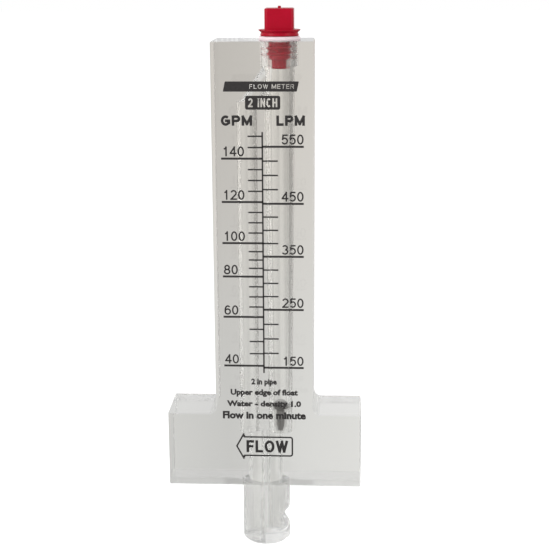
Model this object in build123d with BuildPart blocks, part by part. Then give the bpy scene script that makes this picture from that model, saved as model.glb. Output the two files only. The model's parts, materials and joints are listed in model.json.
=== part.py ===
from build123d import *
import math
import os

# Insertion flow meter for a 2 inch pipe, in millimetres.
# A clear acrylic block stands on the pipe like an upside-down T, and its probe reaches into the flow.
# The probe catches the stream in a port that faces upstream and lets it out again through its lower
# end, so a small share of the flow climbs the tapered bore and lifts the float beside the printed scale.
# The origin is on the probe's axis, level with the block's lower edges: +X points upstream and +Z away
# from the pipe.
os.makedirs("parts", exist_ok=True)

# Block, sawn and milled from thick plate
PLATE_THICKNESS = 24.0
BODY_HEIGHT = 174.6
COLUMN_WIDTH = 38.1
BASE_LENGTH = 76.2
BASE_HEIGHT = 30.0
FOOT_RADIUS = 3.0
EDGE_BREAK = 0.3

# Saddle that fits the pipe's outside
PIPE_DIAMETER = 60.3
SADDLE_LAND = 0.5

# Probe, a clear rod cemented into the block
PROBE_DIAMETER = 19.05
PROBE_REACH = 27.0
PROBE_CHAMFER = 1.0
SHOULDER_DROP = 0.3
SPIGOT_DIAMETER = 18.6
SOCKET_DEPTH = 6.35
CEMENT_GAP = 0.03
CHANNEL_DIAMETER = 6.35
CHANNEL_SPACING = 7.2
UPSTREAM_CHANNEL_REACH = 22.1
PORT_RADIUS = 4.5
PORT_DEPTH = 3.3
PORT_CENTRE_REACH = 17.2
DRILL_POINT_ANGLE = 118.0

# Tapered float bore and the return bore beside it
FLOAT_BORE_X = 6.0
FLOAT_BORE_FLOOR = 20.3
FLOAT_BORE_LOW_DIAMETER = 9.5
FLOAT_BORE_HIGH_DIAMETER = 11.8
RETURN_BORE_X = -6.35
RETURN_BORE_FLOOR = 20.3
RETURN_BORE_DIAMETER = 7.94
RETURN_PLUG_LENGTH = 22.6
CHANNEL_OVERRUN = 0.5

# Crossing drilled through the mouth, from the float bore into the return bore
CROSSING_DIAMETER = 6.0
CROSSING_ENTRY_OFFSET = 3.8
CROSSING_END_DROP = 2.0

# Tapped mouth of the float bore
MOUTH_DIAMETER = 14.29
MOUTH_DEPTH = 9.5
MOUTH_FLARE_DIAMETER = 15.4

# Seal ring between the mouth's flare and the plug's flange
SEAL_SECTION = 1.9
SEAL_SQUEEZE = 0.08
SEAL_CLEARANCE = 0.05

# Screwed top plug
FLANGE_LIFT = 1.45
FLANGE_DIAMETER = 15.8
FLANGE_THICKNESS = 2.35
RIM_GROOVE_DEPTH = 0.5
THREAD_CLEARANCE = 0.145
THREAD_START = 1.75
THREAD_LENGTH = 4.45
THREAD_RUNOUT = 0.9
NOSE_DIAMETER = 8.3
NOSE_LENGTH = 3.4
KNOB_WIDTH = 10.8
KNOB_HEIGHT = 7.8
KNOB_CORNER_RADIUS = 1.6
KNOB_BEVEL = 0.5
GATE_DIAMETER = 1.2
GATE_HEIGHT = 0.8

# Steel float
FLOAT_REST_GAP = 0.1
FLOAT_LENGTH = 11.3
FLOAT_HEAD_CLEARANCE = 0.3
FLOAT_HEAD_HEIGHT = 1.3
FLOAT_FLARE_HEIGHT = 1.4
FLOAT_STEM_DIAMETER = 5.0
FLOAT_TIP_DIAMETER = 3.2
FLOAT_TIP_HEIGHT = 2.5
FLOAT_EDGE = 0.25

# Places that follow from the sizes
pipe_radius = PIPE_DIAMETER / 2
saddle_half_width = PLATE_THICKNESS / 2 - EDGE_BREAK - SADDLE_LAND
pipe_axis_z = -math.sqrt(pipe_radius**2 - saddle_half_width**2)
probe_radius = PROBE_DIAMETER / 2
probe_top = SOCKET_DEPTH - CEMENT_GAP
channel_x = CHANNEL_SPACING / 2
mouth_floor = BODY_HEIGHT - MOUTH_DEPTH
return_plug_end = BODY_HEIGHT - RETURN_PLUG_LENGTH
crossing_start = Vector(FLOAT_BORE_X + CROSSING_ENTRY_OFFSET, 0, BODY_HEIGHT)
crossing_end = Vector(RETURN_BORE_X, 0, return_plug_end - CROSSING_END_DROP)
flange_z = BODY_HEIGHT + FLANGE_LIFT
seal_flat = SEAL_SECTION / 2 - SEAL_SQUEEZE
seal_z = flange_z - SEAL_CLEARANCE - seal_flat
seal_ring_radius = MOUTH_FLARE_DIAMETER / 2 + seal_z - BODY_HEIGHT - math.sqrt(2) * (seal_flat + SEAL_CLEARANCE)
float_axis = Axis((FLOAT_BORE_X, 0, 0), (0, 0, 1))


def drill_point_length(diameter):
    """Length of the cone that a drill leaves at the end of its hole."""
    return diameter / 2 / math.tan(math.radians(DRILL_POINT_ANGLE / 2))


# Course of the drill that joins the two bores, taken out of the block and out of the plug of the return bore
with BuildPart() as crossing:
    with BuildSketch(Plane(origin=crossing_start, z_dir=crossing_end - crossing_start)):
        Circle(CROSSING_DIAMETER / 2)
    extrude(amount=(crossing_end - crossing_start).length)

# Clear block: the T, its saddle, and every bore that the liquid, the plug or the probe uses
with BuildPart() as meter_body:
    with BuildSketch(Plane.XZ) as outline:
        with Locations((0, BASE_HEIGHT / 2)):
            Rectangle(BASE_LENGTH, BASE_HEIGHT)
        with Locations((0, BODY_HEIGHT / 2)):
            Rectangle(COLUMN_WIDTH, BODY_HEIGHT)
        inside_corners = outline.vertices().filter_by(
            lambda v: abs(abs(v.X) - COLUMN_WIDTH / 2) < 0.01 and abs(v.Y - BASE_HEIGHT) < 0.01
        )
        fillet(inside_corners, FOOT_RADIUS)
    extrude(amount=PLATE_THICKNESS / 2, both=True)

    # sharp edges taken off round both broad faces, and across the top
    chamfer(meter_body.faces().filter_by(Axis.Y).edges(), EDGE_BREAK)
    top_face = meter_body.faces().filter_by(Axis.Z).sort_by(Axis.Z)[-1]
    chamfer(top_face.edges().filter_by(Axis.Y), EDGE_BREAK)

    # saddle, milled to the pipe's own radius
    with BuildSketch(Plane.YZ):
        with Locations((0, pipe_axis_z)):
            Circle(pipe_radius)
    extrude(amount=BASE_LENGTH, both=True, mode=Mode.SUBTRACT)

    # socket of the probe, with the two channels that lead on from it to the bores
    with BuildSketch(Plane.XY.offset(SOCKET_DEPTH)):
        Circle(SPIGOT_DIAMETER / 2 + CEMENT_GAP)
    extrude(amount=-SOCKET_DEPTH, mode=Mode.SUBTRACT)
    with BuildSketch(Plane.XY.offset(SOCKET_DEPTH)):
        with Locations((channel_x, 0)):
            Circle(CHANNEL_DIAMETER / 2)
    extrude(amount=FLOAT_BORE_FLOOR + CHANNEL_OVERRUN - SOCKET_DEPTH, mode=Mode.SUBTRACT)
    with BuildSketch(Plane.XY.offset(SOCKET_DEPTH)):
        with Locations((-channel_x, 0)):
            Circle(CHANNEL_DIAMETER / 2)
    extrude(amount=RETURN_BORE_FLOOR + CHANNEL_OVERRUN - SOCKET_DEPTH, mode=Mode.SUBTRACT)

    # float bore: the taper, the tapped mouth above it and the flare that seats the seal ring
    with BuildSketch(Plane.XZ):
        with BuildLine():
            Polyline(
                (FLOAT_BORE_X, FLOAT_BORE_FLOOR),
                (FLOAT_BORE_X + FLOAT_BORE_LOW_DIAMETER / 2, FLOAT_BORE_FLOOR),
                (FLOAT_BORE_X + FLOAT_BORE_HIGH_DIAMETER / 2, mouth_floor),
                (FLOAT_BORE_X + MOUTH_DIAMETER / 2, mouth_floor),
                (FLOAT_BORE_X + MOUTH_DIAMETER / 2, BODY_HEIGHT - (MOUTH_FLARE_DIAMETER - MOUTH_DIAMETER) / 2),
                (FLOAT_BORE_X + MOUTH_FLARE_DIAMETER / 2, BODY_HEIGHT),
                (FLOAT_BORE_X, BODY_HEIGHT),
                close=True,
            )
        make_face()
    revolve(axis=float_axis, mode=Mode.SUBTRACT)

    # return bore, drilled from the top face
    with BuildSketch(Plane.XY.offset(BODY_HEIGHT)):
        with Locations((RETURN_BORE_X, 0)):
            Circle(RETURN_BORE_DIAMETER / 2)
    extrude(amount=RETURN_BORE_FLOOR - BODY_HEIGHT, mode=Mode.SUBTRACT)

    add(crossing.part, mode=Mode.SUBTRACT)
meter_body.part.label = "meter_body"
export_step(meter_body.part, "parts/meter_body.step")

# Clear rod cemented into the upper end of the return bore, flush with the top face
with BuildPart() as return_bore_plug:
    with BuildSketch(Plane.XY.offset(BODY_HEIGHT)):
        with Locations((RETURN_BORE_X, 0)):
            Circle(RETURN_BORE_DIAMETER / 2 - CEMENT_GAP)
    extrude(amount=-RETURN_PLUG_LENGTH)
    add(crossing.part, mode=Mode.SUBTRACT)
return_bore_plug.part.label = "return_bore_plug"
export_step(return_bore_plug.part, "parts/return_bore_plug.step")

# Probe: the upstream port breaks into the blind channel, and the other channel runs out at the lower end
with BuildPart() as pitot_probe:
    with BuildSketch(Plane.XY.offset(-PROBE_REACH)):
        Circle(probe_radius)
    extrude(amount=PROBE_REACH - SHOULDER_DROP)
    with BuildSketch(Plane.XY.offset(-SHOULDER_DROP)):
        Circle(SPIGOT_DIAMETER / 2)
    extrude(amount=SHOULDER_DROP + probe_top)
    lower_rim = pitot_probe.edges().filter_by(GeomType.CIRCLE).sort_by(Axis.Z)[0]
    chamfer(lower_rim, PROBE_CHAMFER)

    # downstream channel, right through
    with Locations((-channel_x, 0, probe_top)):
        Hole(CHANNEL_DIAMETER / 2)

    # upstream channel, ending in the drill's cone
    with BuildSketch(Plane.XZ):
        with BuildLine():
            Polyline(
                (channel_x, probe_top),
                (channel_x + CHANNEL_DIAMETER / 2, probe_top),
                (channel_x + CHANNEL_DIAMETER / 2, -UPSTREAM_CHANNEL_REACH),
                (channel_x, -UPSTREAM_CHANNEL_REACH - drill_point_length(CHANNEL_DIAMETER)),
                close=True,
            )
        make_face()
    revolve(axis=Axis((channel_x, 0, 0), (0, 0, 1)), mode=Mode.SUBTRACT)

    # upstream port, a round-bottomed groove across the probe's side
    with BuildSketch(Plane.XZ):
        with Locations((probe_radius - PORT_DEPTH + PORT_RADIUS, -PORT_CENTRE_REACH)):
            Circle(PORT_RADIUS)
    extrude(amount=PROBE_DIAMETER, both=True, mode=Mode.SUBTRACT)
pitot_probe.part.label = "pitot_probe"
export_step(pitot_probe.part, "parts/pitot_probe.step")

# Float, turned from bar: a pointed stem under a wide head, whose upper edge is read against the scale
float_head_radius = FLOAT_BORE_LOW_DIAMETER / 2 - FLOAT_HEAD_CLEARANCE
float_bottom = FLOAT_BORE_FLOOR + FLOAT_REST_GAP
float_top = float_bottom + FLOAT_LENGTH
head_bottom = float_top - FLOAT_HEAD_HEIGHT
with BuildPart() as steel_float:
    with BuildSketch(Plane.XZ):
        with BuildLine():
            Polyline(
                (FLOAT_BORE_X, float_bottom),
                (FLOAT_BORE_X + FLOAT_TIP_DIAMETER / 2, float_bottom),
                (FLOAT_BORE_X + FLOAT_STEM_DIAMETER / 2, float_bottom + FLOAT_TIP_HEIGHT),
                (FLOAT_BORE_X + FLOAT_STEM_DIAMETER / 2, head_bottom - FLOAT_FLARE_HEIGHT),
                (FLOAT_BORE_X + float_head_radius, head_bottom),
                (FLOAT_BORE_X + float_head_radius, float_top),
                (FLOAT_BORE_X, float_top),
                close=True,
            )
        make_face()
    revolve(axis=float_axis)
    chamfer(steel_float.edges().filter_by(GeomType.CIRCLE).sort_by(Axis.Z)[-1], FLOAT_EDGE)
steel_float.part.label = "float"
export_step(steel_float.part, "parts/float.step")

# Seal ring, a round cord squeezed flat where it meets the flange and where it meets the flare
flare_side = math.sqrt(0.5) * (seal_flat + SEAL_SECTION / 2)
with BuildPart() as plug_seal:
    with BuildSketch(Plane.XZ):
        with Locations((FLOAT_BORE_X + seal_ring_radius, seal_z)):
            Circle(SEAL_SECTION / 2)
            with Locations((0, seal_flat + SEAL_SECTION / 2)):
                Rectangle(SEAL_SECTION, SEAL_SECTION, mode=Mode.SUBTRACT)
            with Locations((flare_side, -flare_side)):
                Rectangle(SEAL_SECTION, SEAL_SECTION, rotation=45, mode=Mode.SUBTRACT)
    revolve(axis=float_axis)
plug_seal.part.label = "plug_seal"
export_step(plug_seal.part, "parts/plug_seal.step")

# Top plug, moulded: nose, thread, neck, flange with a grooved rim, and a square knob with its gate stub
thread_radius = MOUTH_DIAMETER / 2 - THREAD_CLEARANCE
thread_top = BODY_HEIGHT - THREAD_START
thread_bottom = thread_top - THREAD_LENGTH
neck_radius = seal_ring_radius - SEAL_SECTION / 2 - SEAL_CLEARANCE
nose_radius = NOSE_DIAMETER / 2
flange_radius = FLANGE_DIAMETER / 2
flange_top = flange_z + FLANGE_THICKNESS
with BuildPart() as top_plug:
    with BuildSketch(Plane.XZ):
        with BuildLine():
            Polyline(
                (FLOAT_BORE_X, thread_bottom - THREAD_RUNOUT - NOSE_LENGTH),
                (FLOAT_BORE_X + nose_radius, thread_bottom - THREAD_RUNOUT - NOSE_LENGTH),
                (FLOAT_BORE_X + nose_radius, thread_bottom - THREAD_RUNOUT),
                (FLOAT_BORE_X + neck_radius, thread_bottom - THREAD_RUNOUT),
                (FLOAT_BORE_X + thread_radius, thread_bottom),
                (FLOAT_BORE_X + thread_radius, thread_top),
                (FLOAT_BORE_X + neck_radius, thread_top),
                (FLOAT_BORE_X + neck_radius, flange_z),
                (FLOAT_BORE_X + flange_radius, flange_z),
                (FLOAT_BORE_X + flange_radius - RIM_GROOVE_DEPTH, flange_z + FLANGE_THICKNESS / 2),
                (FLOAT_BORE_X + flange_radius, flange_top),
                (FLOAT_BORE_X, flange_top),
                close=True,
            )
        make_face()
    revolve(axis=float_axis)

    # square knob that the fingers or a spanner turn
    with BuildSketch(Plane.XY.offset(flange_top)):
        with Locations((FLOAT_BORE_X, 0)):
            RectangleRounded(KNOB_WIDTH, KNOB_WIDTH, KNOB_CORNER_RADIUS)
    extrude(amount=KNOB_HEIGHT)
    chamfer(top_plug.faces().sort_by(Axis.Z)[-1].edges(), KNOB_BEVEL)

    # stub left where the plastic entered the mould
    with BuildSketch(Plane.XY.offset(flange_top + KNOB_HEIGHT)):
        with Locations((FLOAT_BORE_X, 0)):
            Circle(GATE_DIAMETER / 2)
    extrude(amount=GATE_HEIGHT)
top_plug.part.label = "top_plug"
export_step(top_plug.part, "parts/top_plug.step")
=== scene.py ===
# %% [markdown]
# # A clear flow meter, dressed around its fixed frame
# The object is an insertion flow meter: a block of clear acrylic shaped like an upside-down T, with a
# steel float in a tapered bore, a printed scale, a red screwed plug on top and a clear probe below.
# The frame already holds every solid at its real size. This script gives them their looks: refraction,
# the printed scale, the plug's thread, and the finishes. Everything is in metres, so sizes that a maker
# would give in millimetres are multiplied by MM.

# %% Load the frame
import json
import math

import bpy
from mathutils import Matrix, Vector

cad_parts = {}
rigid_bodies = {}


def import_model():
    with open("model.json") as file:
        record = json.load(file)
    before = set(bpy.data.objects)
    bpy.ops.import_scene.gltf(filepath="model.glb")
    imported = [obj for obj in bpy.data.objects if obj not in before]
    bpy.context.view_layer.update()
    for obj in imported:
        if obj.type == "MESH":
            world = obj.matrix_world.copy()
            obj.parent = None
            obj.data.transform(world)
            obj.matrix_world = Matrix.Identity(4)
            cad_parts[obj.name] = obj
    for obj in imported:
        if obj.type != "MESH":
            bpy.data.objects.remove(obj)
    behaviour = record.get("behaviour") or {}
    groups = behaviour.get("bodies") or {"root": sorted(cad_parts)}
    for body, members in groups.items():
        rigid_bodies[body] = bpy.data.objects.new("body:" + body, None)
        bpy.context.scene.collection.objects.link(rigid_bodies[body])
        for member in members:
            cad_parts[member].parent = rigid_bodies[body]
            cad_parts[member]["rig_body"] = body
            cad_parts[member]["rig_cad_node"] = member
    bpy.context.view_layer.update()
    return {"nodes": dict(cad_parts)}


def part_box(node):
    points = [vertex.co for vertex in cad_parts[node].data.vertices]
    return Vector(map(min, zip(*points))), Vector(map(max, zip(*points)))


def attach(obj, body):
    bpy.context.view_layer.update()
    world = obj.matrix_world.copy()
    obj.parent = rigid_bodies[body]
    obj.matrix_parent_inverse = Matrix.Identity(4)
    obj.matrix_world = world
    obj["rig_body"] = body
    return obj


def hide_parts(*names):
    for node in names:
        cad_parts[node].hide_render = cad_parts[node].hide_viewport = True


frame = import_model()
MM = 0.001
print("nodes:", sorted(frame["nodes"]))

# %% [markdown]
# Sizes that several pieces share are read from the frame once. The block's front face carries the print,
# and the float bore's axis carries the float, the seal and the plug.

# %% Places read from the frame
body_low, body_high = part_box("meter_body")
probe_low, probe_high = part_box("pitot_probe")
float_low, float_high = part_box("float")
seal_low, seal_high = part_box("plug_seal")
plug_low, plug_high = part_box("top_plug")
rod_low, rod_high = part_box("return_bore_plug")
front_y = body_low.y
bore_x = (float_low.x + float_high.x) / 2
print(f"front face at y = {front_y / MM:.1f} mm, float bore at x = {bore_x / MM:.1f} mm")

# %% [markdown]
# The camera stands where the photographer stood, a little above the meter and half a metre in front of
# it. Its lens follows from the focal length in pixels of a picture 550 pixels high.

# %% Camera at the photograph's viewing angle
CAMERA_PLACE = Vector((30.38, -476.35, 201.79)) * MM
CAMERA_YAW, CAMERA_PITCH, CAMERA_ROLL = 3.214, -13.909, 0.315
FOCAL_PIXELS = 1252.5
PICTURE_SIDE_PIXELS = 550
SENSOR_WIDTH = 36.0


def make_camera():
    """Adds the camera, turned by yaw, then pitch, then roll."""
    data = bpy.data.cameras.new("camera")
    data.sensor_width = SENSOR_WIDTH
    data.lens = FOCAL_PIXELS * SENSOR_WIDTH / PICTURE_SIDE_PIXELS
    data.clip_start = 0.01
    data.clip_end = 50.0
    camera = bpy.data.objects.new("camera", data)
    bpy.context.scene.collection.objects.link(camera)
    turn = (
        Matrix.Rotation(math.radians(CAMERA_YAW), 4, "Z")
        @ Matrix.Rotation(math.radians(CAMERA_PITCH), 4, "X")
        @ Matrix.Rotation(math.radians(CAMERA_ROLL), 4, "Y")
    )
    right, ahead, up = (turn.to_3x3().col[i] for i in range(3))
    looking = Matrix((right, up, -ahead)).transposed()
    camera.matrix_world = Matrix.Translation(CAMERA_PLACE) @ looking.to_4x4()
    bpy.context.scene.camera = camera
    return camera


camera = make_camera()
print(f"lens {camera.data.lens:.1f} mm")

# %% [markdown]
# A finish is a small tree of shader nodes. Written as Python, its arithmetic reads like a formula: the
# class Signal wraps a socket, and an expression on it adds the Math nodes that work it out. Every other
# node comes from one method, which takes the node's type, its settings and what its sockets get.

# %% Helpers that write a finish as formulas


class Signal:
    """One socket of a finish, on which +, -, * and / add Math nodes, also after a plain number."""

    def __init__(self, finish, socket):
        self.finish, self.socket = finish, socket

    def math(self, operation, *values):
        inputs = dict(enumerate(values))
        return self.finish.node("ShaderNodeMath", {"operation": operation}, inputs)["Value"]

    def __add__(self, other):
        return self.math("ADD", self, other)

    def __radd__(self, other):
        return self.math("ADD", other, self)

    def __sub__(self, other):
        return self.math("SUBTRACT", self, other)

    def __rsub__(self, other):
        return self.math("SUBTRACT", other, self)

    def __mul__(self, other):
        return self.math("MULTIPLY", self, other)

    def __rmul__(self, other):
        return self.math("MULTIPLY", other, self)

    def __truediv__(self, other):
        return self.math("DIVIDE", self, other)

    def __rtruediv__(self, other):
        return self.math("DIVIDE", other, self)


class Finish:
    """A tree of shader nodes, each made by node(), which returns the new node's outputs by name."""

    def __init__(self, name, tree=None):
        if tree is None:
            self.material = bpy.data.materials.new(name)
            self.material.use_nodes = True
            tree = self.material.node_tree
        self.tree = tree
        self.tree.nodes.clear()

    def node(self, kind, settings=None, values=None):
        made = self.tree.nodes.new(kind)
        for name, value in (settings or {}).items():
            if name == "stops":
                ramp = made.color_ramp.elements
                for spare in list(ramp)[1:]:
                    ramp.remove(spare)
                for index, (place, colour) in enumerate(value):
                    stop = ramp[0] if index == 0 else ramp.new(place)
                    stop.position, stop.color = place, colour
            else:
                setattr(made, name, value)
        for key, value in (values or {}).items():
            if isinstance(value, Signal):
                self.tree.links.new(value.socket, made.inputs[key])
            else:
                made.inputs[key].default_value = value
        return {out.name: Signal(self, out) for out in made.outputs if out.enabled}

    def place(self):
        """Object coordinates, which are metres in the frame for every piece here."""
        return self.node("ShaderNodeTexCoord")["Object"]

    def axes(self, vector):
        """The three parts of a vector."""
        parts = self.node("ShaderNodeSeparateXYZ", None, {"Vector": vector})
        return parts["X"], parts["Y"], parts["Z"]

    def noise(self, scale, detail=2.0, stretch=(1, 1, 1)):
        """Noise from 0 to 1 with scale waves a metre, and stretch times as many along each axis."""
        placed = {"Vector": self.place(), "Scale": stretch}
        mapped = self.node("ShaderNodeMapping", None, placed)["Vector"]
        values = {"Vector": mapped, "Scale": scale, "Detail": detail}
        return self.node("ShaderNodeTexNoise", None, values)["Fac"]

    def blend(self, factor, first, second):
        """Colour that goes from first to second as factor goes from 0 to 1."""
        values = {"Factor": factor, 6: first, 7: second}
        return self.node("ShaderNodeMix", {"data_type": "RGBA"}, values)["Result"]

    def bump(self, height, strength, distance):
        values = {"Height": height, "Strength": strength, "Distance": distance}
        return self.node("ShaderNodeBump", None, values)["Normal"]

    def shade(self, **values):
        """The finish's shader, with its sockets named as in the panel, spaces as underscores."""
        named = {key.replace("_", " "): value for key, value in values.items()}
        shader = self.node("ShaderNodeBsdfPrincipled", None, named)["BSDF"]
        self.node("ShaderNodeOutputMaterial", None, {"Surface": shader})
        return self.material


def grey(value):
    """A colour of equal red, green and blue."""
    return (value, value, value, 1.0)


# %% [markdown]
# Clear acrylic is a smooth shell that bends light by its index, 1.49. The sheet is very slightly warm,
# because light crosses 24 mm of it. Each tool leaves its own polish: the plate's faces are flamed bright,
# the float bore is reamed, the return bore is reamed and wet, the probe is turned, the saddle and the
# edge breaks are milled, and the oblique drill leaves a frosted wall. All six are one finish with other
# numbers: its dullness, the height and number of its waves, and its body. Body is the share of the light
# that the surface bends. The rest goes straight on, which softens a wall that would show as a hard line
# and lets light into corners where it would be trapped. Where two clear pieces are cemented, all of it
# goes straight on, so those faces get a plain transparent shader.

# %% Finish: clear acrylic and cement
ACRYLIC_INDEX = 1.49
ACRYLIC_TINT = (0.955, 0.955, 0.935, 1.0)
ACRYLIC_TINT_CLEARER = (0.975, 0.975, 0.96, 1.0)
SCUFFS_PER_METRE = 90.0


def clear_acrylic(name, dullness, wave_height, waves_per_metre, body=1.0):
    """Acrylic of a given dullness, with waves in metres, which bends the share of light called body."""
    finish = Finish(name)
    waves = finish.noise(waves_per_metre, 1.0)
    scuffs = finish.noise(SCUFFS_PER_METRE, 3.0)
    return finish.shade(
        Base_Color=finish.blend(scuffs, ACRYLIC_TINT, ACRYLIC_TINT_CLEARER),
        Roughness=dullness * (0.7 + 0.6 * scuffs),
        IOR=ACRYLIC_INDEX,
        Transmission_Weight=1.0,
        Alpha=body,
        Normal=finish.bump(waves, 1.0, wave_height),
    )


def cement_joint():
    """A cemented face, which light crosses as if it weren't there."""
    finish = Finish("cement_joint")
    through = finish.node("ShaderNodeBsdfTransparent")["BSDF"]
    finish.node("ShaderNodeOutputMaterial", None, {"Surface": through})
    return finish.material


polished_acrylic = clear_acrylic("polished_acrylic", 0.01, 0.002 * MM, 60.0)
reamed_acrylic = clear_acrylic("reamed_acrylic", 0.09, 0.005 * MM, 150.0, 0.65)
drilled_acrylic = clear_acrylic("drilled_acrylic", 0.3, 0.01 * MM, 900.0, 0.5)
wet_acrylic = clear_acrylic("wet_acrylic", 0.10, 0.005 * MM, 150.0, 0.5)
milled_acrylic = clear_acrylic("milled_acrylic", 0.12, 0.005 * MM, 300.0, 0.3)
turned_acrylic = clear_acrylic("turned_acrylic", 0.05, 0.003 * MM, 120.0, 0.7)
cement = cement_joint()
print("finishes:", [material.name for material in bpy.data.materials if "acrylic" in material.name])

# %% [markdown]
# The mouth of the float bore is tapped. A thread cut in acrylic scatters light on its flanks, so its
# finish is dull and grainy, and its bump follows the thread: the height of a point depends on how far its
# z and its angle round the bore have gone through one pitch. The bump stays low, because a high one would
# break the red plug behind it into streaks.

# %% Finish: tapped acrylic
THREAD_PITCH = 2.117 * MM
TAPPED_BODY = 0.8
TAPPED_WAVE = 0.03 * MM
GRAINS_PER_METRE = 2500.0


def tapped_acrylic():
    """Acrylic with a helical bump of one wave a pitch round the float bore's axis."""
    finish = Finish("tapped_acrylic")
    x, y, z = finish.axes(finish.place())
    angle = y.math("ARCTAN2", y, x - bore_x)
    turns = z / THREAD_PITCH - angle / (2 * math.pi)
    flank = turns.math("PINGPONG", turns, 0.5)
    grain = finish.noise(GRAINS_PER_METRE, 2.0)
    return finish.shade(
        Base_Color=finish.blend(grain, ACRYLIC_TINT, ACRYLIC_TINT_CLEARER),
        Roughness=0.17 + grain * 0.08,
        IOR=ACRYLIC_INDEX,
        Transmission_Weight=1.0,
        Alpha=TAPPED_BODY,
        Normal=finish.bump(flank, 1.0, TAPPED_WAVE),
    )


threaded_mouth = tapped_acrylic()

# %% [markdown]
# Each clear piece is a merged copy of its node, because the frame's solids are loose triangles. The copy
# stands for the node, and drops the normals that came with the file. Its faces are then picked by place
# and by normal, so that each cut, wet or cemented wall gets its own finish.

# %% Helpers that copy a node and paint its faces
SMOOTH_ANGLE = math.radians(25)
MERGE_DISTANCE = 0.002 * MM


def select_only(piece):
    bpy.ops.object.select_all(action="DESELECT")
    piece.select_set(True)
    bpy.context.view_layer.objects.active = piece


def in_edit_mode(piece, *steps):
    """Runs the steps in edit mode on the whole of the piece."""
    select_only(piece)
    bpy.ops.object.mode_set(mode="EDIT")
    bpy.ops.mesh.select_all(action="SELECT")
    for step in steps:
        step()
    bpy.ops.object.mode_set(mode="OBJECT")


def merged_copy(node, name):
    """A copy of a frame node with its triangles joined at their corners."""
    piece = frame["nodes"][node].copy()
    piece.data = piece.data.copy()
    piece.name = piece.data.name = name
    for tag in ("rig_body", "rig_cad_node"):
        del piece[tag]
    piece.parent = None
    bpy.context.scene.collection.objects.link(piece)
    piece.data.materials.clear()
    in_edit_mode(piece, lambda: bpy.ops.mesh.remove_doubles(threshold=MERGE_DISTANCE))
    bpy.ops.mesh.customdata_custom_splitnormals_clear()
    return piece


def smooth(piece, angle=SMOOTH_ANGLE):
    """Smooth shading, except over edges that are sharper than the angle."""
    select_only(piece)
    bpy.ops.object.shade_smooth_by_angle(angle=angle)


def paint_faces(piece, slot, chosen):
    """Gives the material slot to each face whose centre and normal pass the test."""
    count = 0
    for face in piece.data.polygons:
        if chosen(face.center, face.normal):
            face.material_index = slot
            count += 1
    print(f"{piece.name}: {count} of {len(piece.data.polygons)} faces in slot {slot}")


# %% [markdown]
# The block is drilled from above: a tapered float bore with a tapped mouth, a straight return bore that a
# rod closes, an oblique crossing between them, and a socket for the probe from below. Their sizes are
# those of the frame. They tell which face lies on which wall.

# %% Sizes of the bores
ROD_X = (rod_low.x + rod_high.x) / 2
ROD_RADIUS = (rod_high.x - rod_low.x) / 2
RETURN_BORE_RADIUS = ROD_RADIUS + 0.03 * MM
SPIGOT_RADIUS = 9.3 * MM
CHANNEL_X, CHANNEL_RADIUS = 3.6 * MM, 3.3 * MM
SOCKET_CEILING = probe_high.z
MOUTH_RADIUS = 7.145 * MM
MOUTH_FLOOR = body_high.z - 9.5 * MM
BORE_FLOOR = 20.3 * MM
BORE_LOW_RADIUS, BORE_HIGH_RADIUS = 4.75 * MM, 5.9 * MM
BORE_TAPER = (BORE_HIGH_RADIUS - BORE_LOW_RADIUS) / (MOUTH_FLOOR - BORE_FLOOR)
print(f"the float bore widens by {2 * BORE_TAPER:.4f} of its length")

# %% [markdown]
# Clear pieces need exact normals, because each facet would bend light its own way. Smooth shading alone
# isn't exact: the long thin triangles of a round wall pull its normals aside, and the wall shows as
# streaks. So every corner of a round wall gets the normal of the true cylinder. A face lies on a round
# wall if its corners are all as far from one of the axes.

# %% Helpers that give round walls their true normals
ROUNDNESS = 0.02 * MM
WIDEST_WALL = 10.5 * MM
FACES_AXIS = 0.9


def off_axis(place, x):
    """Distance from the vertical axis through (x, 0)."""
    return math.hypot(place.x - x, place.y)


def wall_axis(corners, normal, axes):
    """The x of the upright axis that a face lies round as part of a wall, or None for any other face."""
    middle = sum(corners, Vector()) / len(corners)
    for x in axes:
        taper = BORE_TAPER if x == bore_x else 0.0
        radii = [off_axis(corner, x) - corner.z * taper for corner in corners]
        outward = Vector((middle.x - x, middle.y, 0)).normalized()
        is_round = max(radii) - min(radii) < ROUNDNESS and max(radii) < WIDEST_WALL
        if is_round and abs(normal.dot(outward)) > FACES_AXIS:
            return x
    return None


def true_normals(piece, axes):
    """Gives the corners of round walls the normals of the cylinders that their facets approach."""
    mesh = piece.data
    normals = [Vector()] * len(mesh.loops)
    for face in mesh.polygons:
        corners = [mesh.vertices[i].co for i in face.vertices]
        x = wall_axis(corners, face.normal, axes)
        if x is None:
            continue
        for loop, corner in zip(face.loop_indices, corners):
            outward = Vector((corner.x - x, corner.y, 0)).normalized()
            normals[loop] = outward if outward.dot(face.normal) > 0 else -outward
    mesh.normals_split_custom_set(normals)
    print(f"{piece.name}: {sum(n.length > 0 for n in normals)} of {len(normals)} corners on round walls")


# %% [markdown]
# Every wall is told by its distance from its axis, its height and the way it faces. Each test below gets
# the middle and the normal of a face.

# %% Tests that tell the block's walls
WALL_REACH, JOINT_REACH = 0.1 * MM, 0.12 * MM
CORE_HALF_DEPTH, CORE_REACH = 7 * MM, 13 * MM
CROSSING_LOW, CROSSING_HALF_DEPTH = 148 * MM, 4 * MM
CROSSING_LEFT, CROSSING_RIGHT = -11 * MM, 13 * MM
SADDLE_TOP = 3 * MM
EDGE_BREAK_Y, EDGE_BREAK_X = 11.5 * MM, 18.5 * MM


def everywhere(place, normal):
    return True


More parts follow.
